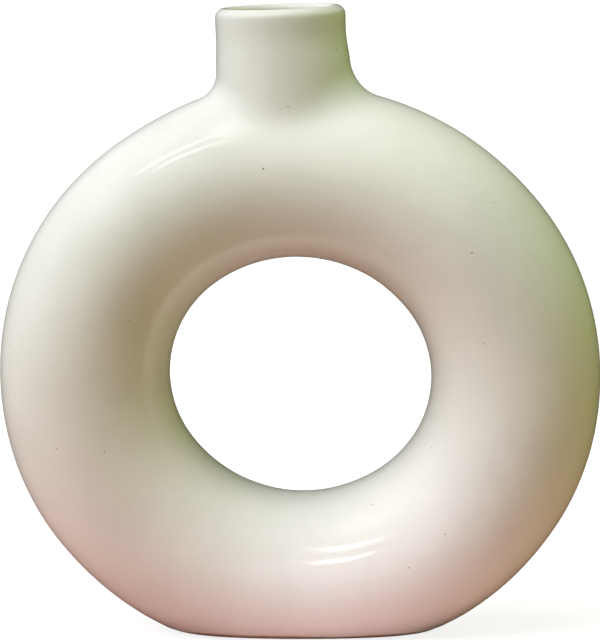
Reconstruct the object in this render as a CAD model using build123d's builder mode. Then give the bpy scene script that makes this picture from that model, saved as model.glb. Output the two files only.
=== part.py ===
"""A donut vase: an oval ring of hollow clay tube on a flat foot, with a short neck and a coat of glaze."""

import os
from math import cos, radians, sin, sqrt

from build123d import *

# Driving dimensions in millimetres and degrees, taken on the outside of the glazed vase
ring_half_width = 69.4
ring_half_height = 65.5
ring_tilt = 9.0
tube_radius = 27.5
foot_cut = 9.7
neck_height = 25.2
neck_radius = 20.8
neck_offset = -5.6
neck_lean = 2.0
root_radius = 8.0
foot_radius = 10.0

# Thickness of the layers, and where one layer gives way to the next
wall = 3.2
floor_thickness = 5.0
glaze = 0.6
seam = 0.8
joint_rise = 3.0
glaze_line = 1.6
lip_overlap = 6.0

# The ring's centreline is an oval of four arcs that meet smoothly
arc_shift = (ring_half_width - ring_half_height) * (1 + 1 / sqrt(2))
end_arc = ring_half_width - arc_shift
long_arc = ring_half_height + arc_shift
tilt = radians(ring_tilt)
ring_reach = ring_half_height + arc_shift * (1 - cos(tilt)) + tube_radius
centre_height = ring_reach - foot_cut
ring_plane = Plane(
    origin=(0, 0, centre_height),
    x_dir=(cos(tilt), 0, -sin(tilt)),
    z_dir=(0, -1, 0),
)
quarters = [
    ((arc_shift, 0), end_arc, -45),
    ((0, -arc_shift), long_arc, 45),
    ((-arc_shift, 0), end_arc, 135),
    ((0, arc_shift), long_arc, 225),
]

# The neck stands on the ring's highest point, a little to the left and leaning left
ring_top = centre_height + ring_reach
lean = radians(neck_lean)
neck_plane = Plane(
    origin=(neck_offset, 0, ring_top),
    x_dir=(cos(lean), 0, sin(lean)),
    z_dir=(-sin(lean), 0, cos(lean)),
)
neck_axis = Axis(neck_plane.origin, neck_plane.z_dir)
bore_radius = neck_radius - glaze - wall - glaze
lip_height = neck_height - glaze - wall / 2
lip_plane = neck_plane.offset(lip_height)
lip_section = Plane(lip_plane.origin, x_dir=-neck_plane.x_dir, z_dir=(0, 1, 0))
lip_middle = neck_radius - glaze - wall / 2


def front_form(inset, base):
    """Front half of the vase's outside, taken in by inset all over, on a flat at height base."""
    with BuildPart() as form:
        for middle, radius, start in quarters:
            angle = radians(start)
            place = ring_plane.from_local_coords(
                (middle[0] + radius * cos(angle), middle[1] + radius * sin(angle), 0)
            )
            centre = ring_plane.from_local_coords((middle[0], middle[1], 0))
            inward = (centre - place).normalized()
            with BuildSketch(Plane(place, x_dir=inward, z_dir=inward.cross(ring_plane.z_dir))):
                with BuildLine():
                    CenterArc((0, 0), tube_radius - inset, 0, 180)
                    Line((inset - tube_radius, 0), (tube_radius - inset, 0))
                make_face()
            revolve(axis=Axis(centre, ring_plane.z_dir), revolution_arc=90)
        with BuildSketch(neck_plane.offset(-tube_radius)):
            with BuildLine():
                CenterArc((0, 0), neck_radius - inset, 180, 180)
                Line((neck_radius - inset, 0), (inset - neck_radius, 0))
            make_face()
        extrude(amount=tube_radius + 2 * neck_height)
        fillet(form.edges().filter_by(GeomType.BSPLINE), root_radius + inset)
        split(bisect_by=Plane.XY.offset(base), keep=Keep.TOP)
        foot = form.faces().sort_by(Axis.Z)[0]
        fillet(foot.edges().sort_by(Axis.Y)[0], foot_radius + glaze - inset)
    return form.part


glaze_outside = front_form(0, -glaze)
clay_outside = front_form(glaze, 0)
clay_inside = front_form(glaze + wall, floor_thickness)
glaze_inside = front_form(glaze + wall + glaze, floor_thickness + glaze)

# The clay's front half between its outside and its hollow, up to where the lip begins to round
with BuildPart() as clay:
    add(clay_outside)
    add(clay_inside, mode=Mode.SUBTRACT)
    split(bisect_by=lip_plane, keep=Keep.BOTTOM)

# Front half of the ring, an open gutter up to the slip in its joints
with BuildPart() as front_half:
    add(clay.part)
    split(bisect_by=neck_plane.offset(joint_rise - seam / 2), keep=Keep.BOTTOM)
    split(bisect_by=Plane.XZ.offset(seam / 2), keep=Keep.TOP)

# Back half of the ring
with BuildPart() as back_half:
    mirror(front_half.part, about=Plane.XZ)

# Slip between the halves: a long band round the outside and a short one round the hole
with BuildPart() as bands:
    add(clay.part)
    split(bisect_by=neck_plane.offset(joint_rise - seam / 2), keep=Keep.BOTTOM)
    split(bisect_by=Plane.XZ.offset(seam / 2), keep=Keep.BOTTOM)
    mirror(about=Plane.XZ)

with BuildPart() as outer_seam:
    add(bands.solids().sort_by(SortBy.VOLUME)[-1])

with BuildPart() as inner_seam:
    add(bands.solids().sort_by(SortBy.VOLUME)[0])

# The neck, its lip rounded over the whole wall
with BuildPart() as neck:
    add(clay.part)
    split(bisect_by=neck_plane.offset(joint_rise + seam / 2), keep=Keep.TOP)
    with BuildSketch(lip_section):
        with BuildLine():
            CenterArc((lip_middle, 0), wall / 2, 0, 180)
            Line((lip_middle - wall / 2, 0), (lip_middle + wall / 2, 0))
        make_face()
    revolve(axis=neck_axis, revolution_arc=180)
    mirror(about=Plane.XZ)

# Slip between the neck and the ring
with BuildPart() as neck_joint:
    add(clay.part)
    split(bisect_by=neck_plane.offset(joint_rise - seam / 2), keep=Keep.TOP)
    split(bisect_by=neck_plane.offset(joint_rise + seam / 2), keep=Keep.BOTTOM)
    mirror(about=Plane.XZ)

# Glaze on the outside, over the lip and a little way into the neck, wiped off round the foot
with BuildPart() as outer_glaze:
    add(glaze_outside)
    add(clay_outside, mode=Mode.SUBTRACT)
    split(bisect_by=lip_plane, keep=Keep.BOTTOM)
    split(bisect_by=Plane.XY.offset(glaze_line), keep=Keep.TOP)
    with BuildSketch(lip_section):
        with BuildLine():
            CenterArc((lip_middle, 0), wall / 2 + glaze, 0, 180)
            Line((bore_radius, 0), (bore_radius, -lip_overlap))
            Line((bore_radius, -lip_overlap), (bore_radius + glaze, -lip_overlap))
            Line((bore_radius + glaze, -lip_overlap), (bore_radius + glaze, 0))
            CenterArc((lip_middle, 0), wall / 2, 180, -180)
            Line((lip_middle + wall / 2, 0), (neck_radius, 0))
        make_face()
    revolve(axis=neck_axis, revolution_arc=180)
    mirror(about=Plane.XZ)

# Glaze on the inside, up to the edge of the outer coat
with BuildPart() as inner_glaze:
    add(clay_inside)
    add(glaze_inside, mode=Mode.SUBTRACT)
    split(bisect_by=lip_plane.offset(-lip_overlap), keep=Keep.BOTTOM)
    mirror(about=Plane.XZ)

front_half.part.label = "front_half"
back_half.part.label = "back_half"
outer_seam.part.label = "outer_seam"
inner_seam.part.label = "inner_seam"
neck.part.label = "neck"
neck_joint.part.label = "neck_joint"
outer_glaze.part.label = "outer_glaze"
inner_glaze.part.label = "inner_glaze"

os.makedirs("parts", exist_ok=True)
export_step(front_half.part, "parts/front_half.step")
export_step(back_half.part, "parts/back_half.step")
export_step(outer_seam.part, "parts/outer_seam.step")
export_step(inner_seam.part, "parts/inner_seam.step")
export_step(neck.part, "parts/neck.step")
export_step(neck_joint.part, "parts/neck_joint.step")
export_step(outer_glaze.part, "parts/outer_glaze.step")
export_step(inner_glaze.part, "parts/inner_glaze.step")
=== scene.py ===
"""The donut vase: a glossy, slightly uneven glaze skin over the modelled clay, in a plain white studio."""

import math

import bpy
import bmesh
import numpy as np
from mathutils import Matrix, Vector


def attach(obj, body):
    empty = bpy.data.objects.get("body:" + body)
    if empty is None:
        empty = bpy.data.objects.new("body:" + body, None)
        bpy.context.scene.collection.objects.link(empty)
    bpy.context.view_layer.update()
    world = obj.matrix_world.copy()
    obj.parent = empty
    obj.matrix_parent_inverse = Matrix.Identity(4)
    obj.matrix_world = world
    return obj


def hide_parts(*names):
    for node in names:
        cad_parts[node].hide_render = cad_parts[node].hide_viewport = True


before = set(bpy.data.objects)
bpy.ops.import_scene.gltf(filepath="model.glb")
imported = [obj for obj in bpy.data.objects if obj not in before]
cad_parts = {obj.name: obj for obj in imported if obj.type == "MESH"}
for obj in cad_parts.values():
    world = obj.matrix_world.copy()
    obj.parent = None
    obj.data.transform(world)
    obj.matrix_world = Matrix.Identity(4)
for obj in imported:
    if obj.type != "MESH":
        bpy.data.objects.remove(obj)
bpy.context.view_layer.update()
scene = bpy.context.scene

# Sizes in metres, as in the part's source
HALF_WIDTH = 0.0694
HALF_HEIGHT = 0.0655
TILT = math.radians(9.0)
TUBE = 0.0275
FOOT_CUT = 0.0097
NECK_HEIGHT = 0.0252
NECK_RADIUS = 0.0208
NECK_OFFSET = -0.0056
LEAN = math.radians(2.0)
FOOT_RADIUS = 0.010
WALL = 0.0032
GLAZE = 0.0006
GLAZE_LINE = 0.0016
LIP_OVERLAP = 0.006

# The neck's root is tighter on the left than on the right
ROOT_LEFT = 0.0080
ROOT_RIGHT = 0.0122

# The neck's wall starts inside the ring and swells towards its root, most on the right
NECK_START = -0.018
FLARE = 0.00080
FLARE_TURN = 0.00040
FLARE_TOP = 0.0180
FLARE_LENGTH = 0.0110

# The shoulders swell beside the neck, most on the left
SWELL = 0.00060
SWELL_TURN = 0.00030
SWELL_REACH = 0.018

# Depths of the hand-made unevenness, and the height by which the glaze line wanders
LEAST_DEPTH = 0.00006
BROAD_DEPTH = 0.00027
SMALL_DEPTH = 0.00005
WAIST_DEPTH = 0.00012
WAIST_HEIGHT = 0.0105
WAIST_REACH = 0.0055
CORNER_DEPTH = 0.00040
LINE_DEPTH = 0.00038
LINE_WANDER = 0.00045

# Farthest that one round of settling moves a point
LONGEST_STEP = 0.004

# The ring's four arcs and height, the neck's foot and directions, and the round of the lip
SHIFT = (HALF_WIDTH - HALF_HEIGHT) * (1 + 1 / math.sqrt(2))
END_ARC = HALF_WIDTH - SHIFT
LONG_ARC = HALF_HEIGHT + SHIFT
REACH = HALF_HEIGHT + SHIFT * (1 - math.cos(TILT)) + TUBE
CENTRE = REACH - FOOT_CUT
NECK_FOOT = np.array([NECK_OFFSET, 0.0, CENTRE + REACH])
NECK_SIDE = np.array([math.cos(LEAN), 0.0, math.sin(LEAN)])
NECK_UP = np.array([-math.sin(LEAN), 0.0, math.cos(LEAN)])
LIP_HEIGHT = NECK_HEIGHT - GLAZE - WALL / 2
LIP_MIDDLE = NECK_RADIUS - GLAZE - WALL / 2
LIP_HALF = WALL / 2 + GLAZE


def ramp(x, low, high):
    """Smooth step from 0 at low to 1 at high."""
    t = np.clip((x - low) / (high - low), 0.0, 1.0)
    return t * t * (3 - 2 * t)


def dot(a, b):
    """Scalar products of two rows of vectors."""
    return (a * b).sum(axis=1)


def to_ring(p):
    """Coordinates in the tilted plane of the ring."""
    z = p[:, 2] - CENTRE
    return p[:, 0] * math.cos(TILT) - z * math.sin(TILT), p[:, 0] * math.sin(TILT) + z * math.cos(TILT)


def from_ring(x, y, z):
    """Upright coordinates, from the ring's centre, of points in its tilted plane."""
    across = x * math.cos(TILT) + z * math.sin(TILT)
    up = z * math.cos(TILT) - x * math.sin(TILT)
    return np.stack([across, y, up], axis=1)


def ring_gap(p):
    """Distance from the ring's tube and the direction away from it."""
    x, z = to_ring(p)
    end = np.abs(z) < np.abs(x) - SHIFT
    ux = np.abs(x) - np.where(end, SHIFT, 0.0)
    uz = np.abs(z) + np.where(end, 0.0, SHIFT)
    reach = np.hypot(ux, uz)
    off = reach - np.where(end, END_ARC, LONG_ARC)
    far = np.maximum(np.hypot(off, p[:, 1]), 1e-9)
    way = from_ring(off * np.copysign(ux, x) / reach, p[:, 1], off * np.copysign(uz, z) / reach)
    return far - TUBE, way / far[:, None]


def neck_place(p):
    """Height up the neck, distance from its axis and angle round it, from the right."""
    w = p - NECK_FOOT
    side = w @ NECK_SIDE
    return w @ NECK_UP, np.maximum(np.hypot(side, w[:, 1]), 1e-9), np.arctan2(w[:, 1], side)


def neck_point(height, radius, angle):
    """Points at one height and radius of the neck, at the angles round it."""
    return (
        NECK_FOOT
        + np.outer(np.broadcast_to(height, angle.shape), NECK_UP)
        + np.outer(radius * np.cos(angle), NECK_SIDE)
        + np.outer(radius * np.sin(angle), [0.0, 1.0, 0.0])
    )


def neck_gap(p):
    """Distance from the neck's wall with its round lip, and the direction away from it."""
    height, radius, angle = neck_place(p)
    out = radius - LIP_MIDDLE
    up = np.maximum(height - LIP_HEIGHT, 0.0) + np.minimum(height - NECK_START, 0.0)
    far = np.maximum(np.hypot(out, up), 1e-9)
    way = np.outer(np.cos(angle), NECK_SIDE) + np.outer(np.sin(angle), [0.0, 1.0, 0.0])
    flare = (FLARE + FLARE_TURN * np.cos(angle)) * ramp(FLARE_TOP - height, 0.0, FLARE_LENGTH) * (out > 0)
    return far - LIP_HALF - flare, (out / far)[:, None] * way + np.outer(up / far, NECK_UP)


def meet(u, v, n1, n2):
    """Vector whose parts along n1 and n2 are u and v, its length, and where it points between them."""
    c = dot(n1, n2)
    s = np.maximum(1 - c * c, 1e-6)
    a = (u - v * c) / s
    b = (v - u * c) / s
    w = a[:, None] * n1 + b[:, None] * n2
    length = np.maximum(np.linalg.norm(w, axis=1), 1e-9)
    return w / length[:, None], length, (a > 0) & (b > 0)


def skin_gap(p):
    """Distance from the outside of the glazed vase, and the direction away from it."""
    d1, n1 = ring_gap(p)
    d2, n2 = neck_gap(p)
    angle = neck_place(p)[2]
    beside = np.exp(-((np.maximum(d2, 0.0) / SWELL_REACH) ** 2))
    d1 = d1 - (SWELL - SWELL_TURN * np.cos(angle)) * np.cos(angle) ** 2 * beside
    root = (ROOT_LEFT + ROOT_RIGHT) / 2 + (ROOT_RIGHT - ROOT_LEFT) / 2 * np.cos(angle)
    way, length, hollow = meet(root - d1, root - d2, n1, n2)
    gap = np.where(hollow, root - length, np.minimum(d1, d2))
    out = np.where(hollow[:, None], way, np.where((d1 < d2)[:, None], n1, n2))
    foot = np.zeros_like(p)
    foot[:, 2] = -1.0
    d3 = -(p[:, 2] + GLAZE)
    way, length, edge = meet(gap + FOOT_RADIUS + GLAZE, d3 + FOOT_RADIUS + GLAZE, out, foot)
    flat = (d3 > gap)[:, None]
    return (
        np.where(edge, length - FOOT_RADIUS - GLAZE, np.maximum(gap, d3)),
        np.where(edge[:, None], way, np.where(flat, foot, out)),
    )


def settle(p, rounds=14):
    """Moves points onto the outside of the vase."""
    for _ in range(rounds):
        gap, out = skin_gap(p)
        p = p - np.clip(gap, -LONGEST_STEP, LONGEST_STEP)[:, None] * out
    return p


def waves(p, seed, count, shortest, longest):
    """Smooth, seeded unevenness from -1 to 1."""
    rng = np.random.default_rng(seed)
    total = np.zeros(len(p))
    for _ in range(count):
        way = rng.normal(size=3)
        way = way / np.linalg.norm(way)
        length = rng.uniform(shortest, longest)
        total += np.sin(2 * math.pi * (p @ way) / length + rng.uniform(0, 2 * math.pi))
    return np.tanh(total / math.sqrt(count))


def line_wander(p):
    """How far the glaze line lies above its mean height, round the foot."""
    return LINE_WANDER * waves(p * [1, 1, 0], 5, 6, 0.02, 0.06)


def ring_cage():
    """Quads over the ring, opened under the neck and carried up over the lip into the bore."""
    columns = 72
    rows = 24
    half_columns = 3
    half_rows = 4
    x, z = to_ring(NECK_FOOT[None, :])
    start = math.atan2(z[0] + SHIFT, x[0])
    points = []
    for i in range(columns):
        t = start + 2 * math.pi * i / columns
        ct, st = math.cos(t), math.sin(t)
        if abs(ct) > abs(st):
            base = (math.copysign(SHIFT, ct) + END_ARC * ct, END_ARC * st)
        else:
            base = (LONG_ARC * ct, LONG_ARC * st - math.copysign(SHIFT, st))
        for j in range(rows):
            v = 2 * math.pi * j / rows
            r = TUBE * math.cos(v)
            points.append((base[0] + r * ct, TUBE * math.sin(v), base[1] + r * st))
    local = np.array(points)
    points = from_ring(local[:, 0], local[:, 1], local[:, 2])
    points[:, 2] += CENTRE

    def at(i, j):
        return (i % columns) * rows + j % rows

    quads = []
    for i in range(columns):
        for j in range(rows):
            ii = i if i < columns // 2 else i - columns
            jj = j if j < rows // 2 else j - rows
            if -half_columns <= ii < half_columns and -half_rows <= jj < half_rows:
                continue
            quads.append((at(i, j), at(i, j + 1), at(i + 1, j + 1), at(i + 1, j)))
    edge = [
        at(i, j)
        for i in range(-half_columns, half_columns + 1)
        for j in range(-half_rows, half_rows + 1)
        if abs(i) == half_columns or abs(j) == half_rows
    ]
    angles = neck_place(points[edge])[2]
    order = np.argsort(angles)
    loop = [edge[k] for k in order]
    angles = angles[order]
    even = np.linspace(0, 2 * math.pi, len(loop), endpoint=False)
    even = even + np.angle(np.exp(1j * (angles - even)).mean())
    ups = [(0.0005, 1.10 * NECK_RADIUS), (0.0045, 1.02 * NECK_RADIUS)]
    ups += [(h, NECK_RADIUS) for h in (0.009, 0.0135, 0.018, 0.0211)]
    for a in np.linspace(0, math.pi, 7):
        ups.append((LIP_HEIGHT + LIP_HALF * math.sin(a), LIP_MIDDLE + LIP_HALF * math.cos(a)))
    for drop in (LIP_OVERLAP / 2, LIP_OVERLAP):
        ups.append((LIP_HEIGHT - drop, LIP_MIDDLE - LIP_HALF))
    stack = [points]
    count = len(points)
    for k, (height, radius) in enumerate(ups):
        turn = even + (angles - even) * max(0.0, 0.6 - 0.3 * k)
        stack.append(neck_point(height, radius, turn))
        above = list(range(count, count + len(loop)))
        for m in range(len(loop)):
            n = (m + 1) % len(loop)
            quads.append((loop[m], loop[n], above[n], above[m]))
        loop = above
        count += len(loop)
    used = sorted({i for q in quads for i in q})
    place = {old: new for new, old in enumerate(used)}
    return np.concatenate(stack)[used], [tuple(place[i] for i in q) for q in quads]


def get_points(mesh):
    """The mesh's vertices as rows."""
    co = np.empty(len(mesh.vertices) * 3)
    mesh.vertices.foreach_get("co", co)
    return co.reshape(-1, 3)


def set_points(mesh, p):
    """Moves the mesh's vertices to the rows of p."""
    mesh.vertices.foreach_set("co", np.ascontiguousarray(p, dtype=np.float32).ravel())
    mesh.update()


def new_object(name, data):
    """A new object in the scene."""
    made = bpy.data.objects.new(name, data)
    scene.collection.objects.link(made)
    return made


def glaze_skin():
    """The coat of glaze as a closed shell: outside, clay side, glaze line and edge in the bore."""
    points, quads = ring_cage()
    cage_mesh = bpy.data.meshes.new("glaze_cage")
    cage_mesh.from_pydata((points * 1000).tolist(), [], quads)
    cage = new_object("glaze_cage", cage_mesh)
    smooth = cage.modifiers.new("smooth", "SUBSURF")
    smooth.levels = 2
    smooth.render_levels = 2
    graph = bpy.context.evaluated_depsgraph_get()
    fine = bpy.data.meshes.new_from_object(cage.evaluated_get(graph))
    bpy.data.objects.remove(cage)
    p = settle(get_points(fine) / 1000)

    # The glaze line wanders a little in height round the foot
    p[:, 2] -= line_wander(p)
    set_points(fine, p * 1000)
    form = bmesh.new()
    form.from_mesh(fine)
    bmesh.ops.bisect_plane(
        form,
        geom=form.verts[:] + form.edges[:] + form.faces[:],
        plane_co=(0, 0, GLAZE_LINE * 1000),
        plane_no=(0, 0, 1),
        clear_inner=True,
    )
    form.to_mesh(fine)
    form.free()
    p = get_points(fine) / 1000
    faces = [tuple(f.vertices) for f in fine.polygons]
    bpy.data.meshes.remove(fine)
    p[:, 2] += line_wander(p)
    p = settle(p, 4)
    out = skin_gap(p)[1]

    # Unevenness of the hand-made form, always inwards so that the coat stays in the modelled space
    height, radius, _ = neck_place(p)
    bore = ramp(LIP_MIDDLE - radius, -0.0012, 0.0012) * ramp(height, 0.004, 0.010)
    broad = 0.5 + 0.5 * waves(p, 11, 12, 0.045, 0.13)
    small = 0.5 + 0.5 * waves(p, 23, 14, 0.012, 0.028)
    depth = LEAST_DEPTH + BROAD_DEPTH * broad + SMALL_DEPTH * small

    # The neck is slimmer at its waist, and the coat thins out at the glaze line
    waist = np.exp(-(((height - WAIST_HEIGHT) / WAIST_REACH) ** 2))
    waist = waist * ramp(radius, 0.0190, 0.0200) * ramp(0.0245 - radius, 0.0, 0.002)
    depth = depth + WAIST_DEPTH * waist
    rim = ramp(p[:, 2], GLAZE_LINE + 0.0008, GLAZE_LINE + 0.0040)
    lip = ramp(height, 0.012, 0.021)
    depth = depth * (1 - 0.75 * lip) * (1 - bore) * rim + (1 - rim) * LINE_DEPTH

    # The lip's outer corner is flatter than a round
    turn = np.degrees(np.arctan2(height - LIP_HEIGHT, radius - LIP_MIDDLE))
    corner = ramp(turn, -25, 45) * ramp(110 - turn, 0, 65) * (height > LIP_HEIGHT - 0.003)
    depth = depth + CORNER_DEPTH * corner

    # The outside and the clay side are joined along their open edges
    outside = p - depth[:, None] * out
    inside = p - GLAZE * out
    n = len(p)
    sides = dict.fromkeys(side for f in faces for side in zip(f, f[1:] + f[:1]))
    rims = [(b, a, a + n, b + n) for a, b in sides if (b, a) not in sides]
    back = [tuple(i + n for i in reversed(f)) for f in faces]
    mesh = bpy.data.meshes.new("glaze_skin")
    mesh.from_pydata(np.concatenate([outside, inside]).tolist(), [], faces + back + rims)
    mesh.polygons.foreach_set("use_smooth", [True] * len(mesh.polygons))
    mesh.set_sharp_from_angle(angle=math.radians(50))
    mesh.validate()
    mesh.update()
    return new_object("glaze_skin", mesh)


def material(name):
    """A new material, its surface shader, and helpers that add nodes and link them to the shader."""
    made = bpy.data.materials.new(name)
    made.use_nodes = True
    tree = made.node_tree
    shader = tree.nodes["Principled BSDF"]

    def add(kind, inputs=None, **settings):
        node = tree.nodes.new(kind)
        for key, value in settings.items():
            setattr(node, key, value)
        for key, value in (inputs or {}).items():
            if isinstance(value, bpy.types.NodeSocket):
                tree.links.new(value, node.inputs[key])
            else:
                node.inputs[key].default_value = value
        return node

    def link(socket, key):
        tree.links.new(socket, shader.inputs[key])

    return made, shader, add, link


def two_tones(add, factor, low, high, dark, light):
    """A colour between two tones, by a factor that runs from low to high."""
    node = add("ShaderNodeValToRGB", {"Fac": factor})
    node.color_ramp.elements[0].position = low
    node.color_ramp.elements[0].color = (*dark, 1)
    node.color_ramp.elements[1].position = high
    node.color_ramp.elements[1].color = (*light, 1)
    return node.outputs["Color"]


def glaze_material(name, dark, light, speck):
    """Ivory glaze: soft mottling, sparse specks and pinholes, and a faint orange peel."""
    made, shader, add, link = material(name)
    place = add("ShaderNodeTexCoord").outputs["Object"]
    cloud = add("ShaderNodeTexNoise", {"Vector": place, "Scale": 22.0, "Detail": 4.0, "Roughness": 0.55})
    tone = two_tones(add, cloud.outputs["Fac"], 0.30, 0.72, dark, light)
    cells = add("ShaderNodeTexVoronoi", {"Vector": place, "Scale": 260.0, "Randomness": 1.0})
    chance = add("ShaderNodeSeparateColor", {"Color": cells.outputs["Color"]})
    size = add("ShaderNodeMath", {0: chance.outputs["Red"], 1: 0.62}, operation="SUBTRACT")
    size = add("ShaderNodeMath", {0: size.outputs[0], 1: 0.26}, operation="MULTIPLY")
    near = add("ShaderNodeMath", {0: size.outputs[0], 1: cells.outputs["Distance"]}, operation="SUBTRACT")
    dot_mask = add("ShaderNodeMath", {0: near.outputs[0], 1: 40.0}, operation="MULTIPLY", use_clamp=True)
    shade = add("ShaderNodeMath", {0: dot_mask.outputs[0], 1: chance.outputs["Green"]}, operation="MULTIPLY")
    colour = add("ShaderNodeMix", data_type="RGBA")
    tree = made.node_tree
    tree.links.new(shade.outputs[0], colour.inputs["Factor"])
    tree.links.new(tone, colour.inputs["A"])
    colour.inputs["B"].default_value = (*speck, 1)
    link(colour.outputs["Result"], "Base Color")
    patch = add("ShaderNodeTexNoise", {"Vector": place, "Scale": 60.0, "Detail": 3.0})
    gloss = add(
        "ShaderNodeMapRange",
        {"Value": patch.outputs["Fac"], "From Min": 0.3, "From Max": 0.7, "To Min": 0.07, "To Max": 0.12},
    )
    link(gloss.outputs["Result"], "Roughness")
    peel = add("ShaderNodeTexNoise", {"Vector": place, "Scale": 260.0, "Detail": 2.0})
    bump = add("ShaderNodeBump", {"Strength": 0.35, "Distance": 0.00006, "Height": peel.outputs["Fac"]})
    pit = add("ShaderNodeMath", {0: 1.0, 1: dot_mask.outputs[0]}, operation="SUBTRACT")
    pits = add(
        "ShaderNodeBump",
        {"Strength": 0.4, "Distance": 0.0001, "Height": pit.outputs[0], "Normal": bump.outputs["Normal"]},
    )
    link(pits.outputs["Normal"], "Normal")
    shader.inputs["IOR"].default_value = 1.5
    return made


def clay_material(name, dark, light, grit, scale):
    """Bare fired clay: grainy and matt, with fine grit."""
    made, shader, add, link = material(name)
    place = add("ShaderNodeTexCoord").outputs["Object"]
    grain = add("ShaderNodeTexNoise", {"Vector": place, "Scale": scale, "Detail": 7.0, "Roughness": 0.65})
    tone = two_tones(add, grain.outputs["Fac"], 0.32, 0.68, dark, light)
    cells = add("ShaderNodeTexVoronoi", {"Vector": place, "Scale": scale * 2.2})
    specks = two_tones(add, cells.outputs["Distance"], 0.05, 0.16, (1, 1, 1), (0, 0, 0))
    colour = add("ShaderNodeMix", data_type="RGBA")
    tree = made.node_tree
    tree.links.new(specks, colour.inputs["Factor"])
    tree.links.new(tone, colour.inputs["A"])
    colour.inputs["B"].default_value = (*grit, 1)
    link(colour.outputs["Result"], "Base Color")
    rough = add(
        "ShaderNodeMapRange",
        {"Value": grain.outputs["Fac"], "From Min": 0.2, "From Max": 0.8, "To Min": 0.72, "To Max": 0.92},
    )
    link(rough.outputs["Result"], "Roughness")
    bump = add("ShaderNodeBump", {"Strength": 0.6, "Distance": 0.0002, "Height": grain.outputs["Fac"]})
    link(bump.outputs["Normal"], "Normal")
    return made


def dress(name, made):
    """Gives a modelled piece its material."""
    mesh = bpy.data.objects[name].data
    mesh.materials.clear()
    mesh.materials.append(made)


ivory = glaze_material("ivory_glaze", (0.680, 0.698, 0.658), (0.765, 0.784, 0.748), (0.20, 0.16, 0.12))
lining = glaze_material("lining_glaze", (0.690, 0.675, 0.600), (0.770, 0.755, 0.690), (0.18, 0.14, 0.10))
clay = clay_material("fired_clay", (0.42, 0.33, 0.245), (0.56, 0.46, 0.36), (0.27, 0.19, 0.13), 420.0)
slip = clay_material("slip", (0.36, 0.27, 0.19), (0.50, 0.40, 0.30), (0.25, 0.18, 0.12), 600.0)

skin = glaze_skin()
skin.data.materials.append(ivory)
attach(skin, "root")
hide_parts("outer_glaze")
dress("inner_glaze", lining)
for piece in ("front_half", "back_half", "neck"):
    dress(piece, clay)
for piece in ("outer_seam", "inner_seam", "neck_joint"):
    dress(piece, slip)


def seen_directly(tree, share):
    """1 for camera and transmission rays, the share for reflections, 0 for rays that light the vase."""
    path = tree.nodes.new("ShaderNodeLightPath")
    gloss = tree.nodes.new("ShaderNodeMath")
    gloss.operation = "MULTIPLY"
    gloss.inputs[1].default_value = share
    tree.links.new(path.outputs["Is Glossy Ray"], gloss.inputs[0])
    seen = gloss.outputs[0]
    for ray in ("Is Camera Ray", "Is Transmission Ray"):
        most = tree.nodes.new("ShaderNodeMath")
        most.operation = "MAXIMUM"
        tree.links.new(seen, most.inputs[0])
        tree.links.new(path.outputs[ray], most.inputs[1])
        seen = most.outputs[0]
    return seen


# Shares of the white surroundings, the room's light and the floor's light that the glaze reflects
GLOSS_SHARE = 0.02
ROOM_MIRROR = 0.35
FLOOR_MIRROR = 0.12

# Tones of the room and of the floor, and how the floor looks to the camera
ROOM_LEFT = (0.04, 0.04, 0.04)
ROOM_RIGHT = (0.46, 0.60, 0.01)
ROOM_TURN = (0.30, 0.85)
MAT_TONE = (0.66, 0.34, 0.30)
FLOOR_TONE = (0.26, 0.26, 0.17)
MAT_REACH = (0.13, 0.40)
FLOOR_SHADE = 0.26
FLOOR_GLOW = 0.84
FLOOR_HALF = 4.0

# The room lights the vase softly, yellow-green from the right, and looks white
world = bpy.data.worlds.new("studio")
scene.world = world
world.use_nodes = True
tree = world.node_tree
way = tree.nodes.new("ShaderNodeTexCoord")
split = tree.nodes.new("ShaderNodeSeparateXYZ")
tree.links.new(way.outputs["Generated"], split.inputs[0])
sides = tree.nodes.new("ShaderNodeValToRGB")
sides.color_ramp.elements[0].position = ROOM_TURN[0]
sides.color_ramp.elements[0].color = (*ROOM_LEFT, 1)
sides.color_ramp.elements[1].position = ROOM_TURN[1]
sides.color_ramp.elements[1].color = (*ROOM_RIGHT, 1)
tree.links.new(split.outputs["X"], sides.inputs["Fac"])
soft = tree.nodes["Background"]
tree.links.new(sides.outputs["Color"], soft.inputs["Color"])
room_path = tree.nodes.new("ShaderNodeLightPath")
room_level = tree.nodes.new("ShaderNodeMapRange")
room_level.inputs["To Min"].default_value = 1.0
room_level.inputs["To Max"].default_value = ROOM_MIRROR
tree.links.new(room_path.outputs["Is Glossy Ray"], room_level.inputs["Value"])
tree.links.new(room_level.outputs["Result"], soft.inputs["Strength"])
white = tree.nodes.new("ShaderNodeBackground")
white.inputs["Color"].default_value = (1, 1, 1, 1)
choice = tree.nodes.new("ShaderNodeMixShader")
tree.links.new(seen_directly(tree, GLOSS_SHARE), choice.inputs[0])
tree.links.new(soft.outputs[0], choice.inputs[1])
tree.links.new(white.outputs[0], choice.inputs[2])
tree.links.new(choice.outputs[0], tree.nodes["World Output"].inputs["Surface"])

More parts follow.
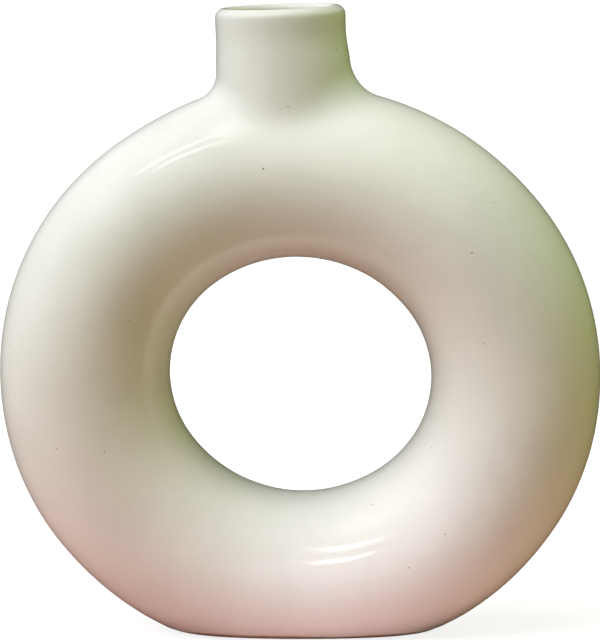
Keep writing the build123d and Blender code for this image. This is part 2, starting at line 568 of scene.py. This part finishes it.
# The floor gives back a rose tone near the vase, looks white in the light, and keeps the shadow
floor_mesh = bpy.data.meshes.new("studio_floor")
corners = [(-1, -1), (1, -1), (1, 1), (-1, 1)]
floor_mesh.from_pydata([(FLOOR_HALF * x, FLOOR_HALF * y, 0) for x, y in corners], [], [(0, 1, 2, 3)])
floor = new_object("studio_floor", floor_mesh)
paint, shader, add_node, link_node = material("studio_floor")
shader.inputs["Roughness"].default_value = 1.0
shader.inputs["Specular IOR Level"].default_value = 0.0
tree = paint.node_tree
seen = seen_directly(tree, 0.0)
place = add_node("ShaderNodeTexCoord").outputs["Object"]
reach = add_node("ShaderNodeVectorMath", {0: place}, operation="LENGTH")
bounce = two_tones(add_node, reach.outputs["Value"], *MAT_REACH, MAT_TONE, FLOOR_TONE)
tone = add_node("ShaderNodeMix", data_type="RGBA")
tree.links.new(seen, tone.inputs["Factor"])
tree.links.new(bounce, tone.inputs["A"])
tone.inputs["B"].default_value = (FLOOR_SHADE, FLOOR_SHADE, FLOOR_SHADE, 1)
mirrored = add_node("ShaderNodeLightPath").outputs["Is Glossy Ray"]
fade = add_node("ShaderNodeMapRange", {"Value": mirrored, "To Min": 1.0, "To Max": FLOOR_MIRROR})
dim = add_node(
    "ShaderNodeVectorMath",
    {0: tone.outputs["Result"], "Scale": fade.outputs["Result"]},
    operation="SCALE",
)
link_node(dim.outputs["Vector"], "Base Color")
level = add_node("ShaderNodeMath", {0: seen, 1: FLOOR_GLOW}, operation="MULTIPLY")
glow = add_node("ShaderNodeEmission", {"Color": (1, 1, 1, 1), "Strength": level.outputs[0]})
both = add_node("ShaderNodeAddShader", {0: shader.outputs[0], 1: glow.outputs[0]})
tree.links.new(both.outputs[0], tree.nodes["Material Output"].inputs["Surface"])
floor.data.materials.append(paint)


def lamp(name, place, aim, size, power, colour=(1, 1, 1), glossy=True):
    """A soft rectangular lamp that the camera doesn't see."""
    data = bpy.data.lights.new(name, "AREA")
    data.shape = "RECTANGLE"
    data.size, data.size_y = size
    data.energy = power
    data.color = colour
    made = new_object(name, data)
    made.location = place
    made.rotation_euler = (Vector(aim) - Vector(place)).to_track_quat("-Z", "Y").to_euler()
    made.visible_camera = False
    made.visible_glossy = glossy
    return made


def sun(name, height, turn, power, angle):
    """A broad, distant lamp at a height above the floor and a turn to the left of the camera, in degrees."""
    data = bpy.data.lights.new(name, "SUN")
    data.energy = power
    data.angle = math.radians(angle)
    made = new_object(name, data)
    made.rotation_euler = (math.radians(90 - height), 0, -math.radians(turn))
    made.visible_glossy = False


def strip(name, start, end, aim, width, power, spread=180):
    """A long lamp from start to end, facing the place that it aims at."""
    start = Vector(start)
    end = Vector(end)
    aim = Vector(aim)
    made = lamp(name, (start + end) / 2, aim, ((end - start).length, width), power)
    made.data.spread = math.radians(spread)
    along = (end - start).normalized()
    back = made.location - aim
    back = (back - along * back.dot(along)).normalized()
    made.rotation_euler = Matrix((along, back.cross(along), back)).transposed().to_euler()


# The window that shines on the shoulder is a bright frame, seen as two long lines and a short one
SHOULDER = (-0.03, -0.02, 0.16)
strip("window_far", (-0.86, -0.38, 1.1), (-0.37, -0.38, 1.1), SHOULDER, 0.045, 0.55)
strip("window_near", (-0.77, -0.61, 1.1), (-0.26, -0.64, 1.1), SHOULDER, 0.045, 0.55)
strip("window_end", (-0.25, -0.58, 1.1), (-0.36, -0.17, 1.1), SHOULDER, 0.04, 0.26)

# Two small strips shine on the bottom of the ring alone
LOW_FRONT = (0.012, -0.025, 0.030)
strip("low_far", (0.002, -0.222, 0.257), (-0.074, -0.256, 0.198), LOW_FRONT, 0.022, 0.0016, 25)
strip("low_near", (-0.006, -0.298, 0.166), (-0.034, -0.303, 0.150), LOW_FRONT, 0.022, 0.0007, 25)

# Broad lamps light the whole vase, mostly from the upper left
sun("key", 40, 60, 1.65, 35)
sun("key_top", 65, 50, 0.7, 35)
sun("overhead", 85, 0, 1.25, 35)
sun("left_fill", 15, 90, 0.85, 35)
sun("back_fill", 20, 165, 0.9, 40)

# Two narrow lamps in front lift the bottom of the ring and its top
FRONT_SIZE = (0.06, 0.03)
low_front = lamp(
    "low_front",
    (0.04, -0.9, 0.12),
    (0.02, -0.02, 0.012),
    FRONT_SIZE,
    0.0085,
    colour=(0.78, 0.76, 1.0),
    glossy=False,
)
low_front.data.spread = math.radians(11)
high_front = lamp("high_front", (0.03, -0.9, 0.50), (0.02, -0.02, 0.150), FRONT_SIZE, 0.0048, glossy=False)
high_front.data.spread = math.radians(8)

CAMERA_PLACE = Vector((-0.0001, -1.2, 0.26429))
CAMERA_AIM = Vector((-0.0001, 0, 0.10104))
camera = bpy.data.cameras.new("camera")
camera.sensor_fit = "HORIZONTAL"
camera.sensor_width = 36.0
camera.lens = 226.2
camera.clip_start = 0.05
camera.clip_end = 50.0
view = new_object("camera", camera)
view.location = CAMERA_PLACE
view.rotation_euler = (CAMERA_AIM - view.location).to_track_quat("-Z", "Y").to_euler()
scene.camera = view
scene.view_settings.view_transform = "Standard"
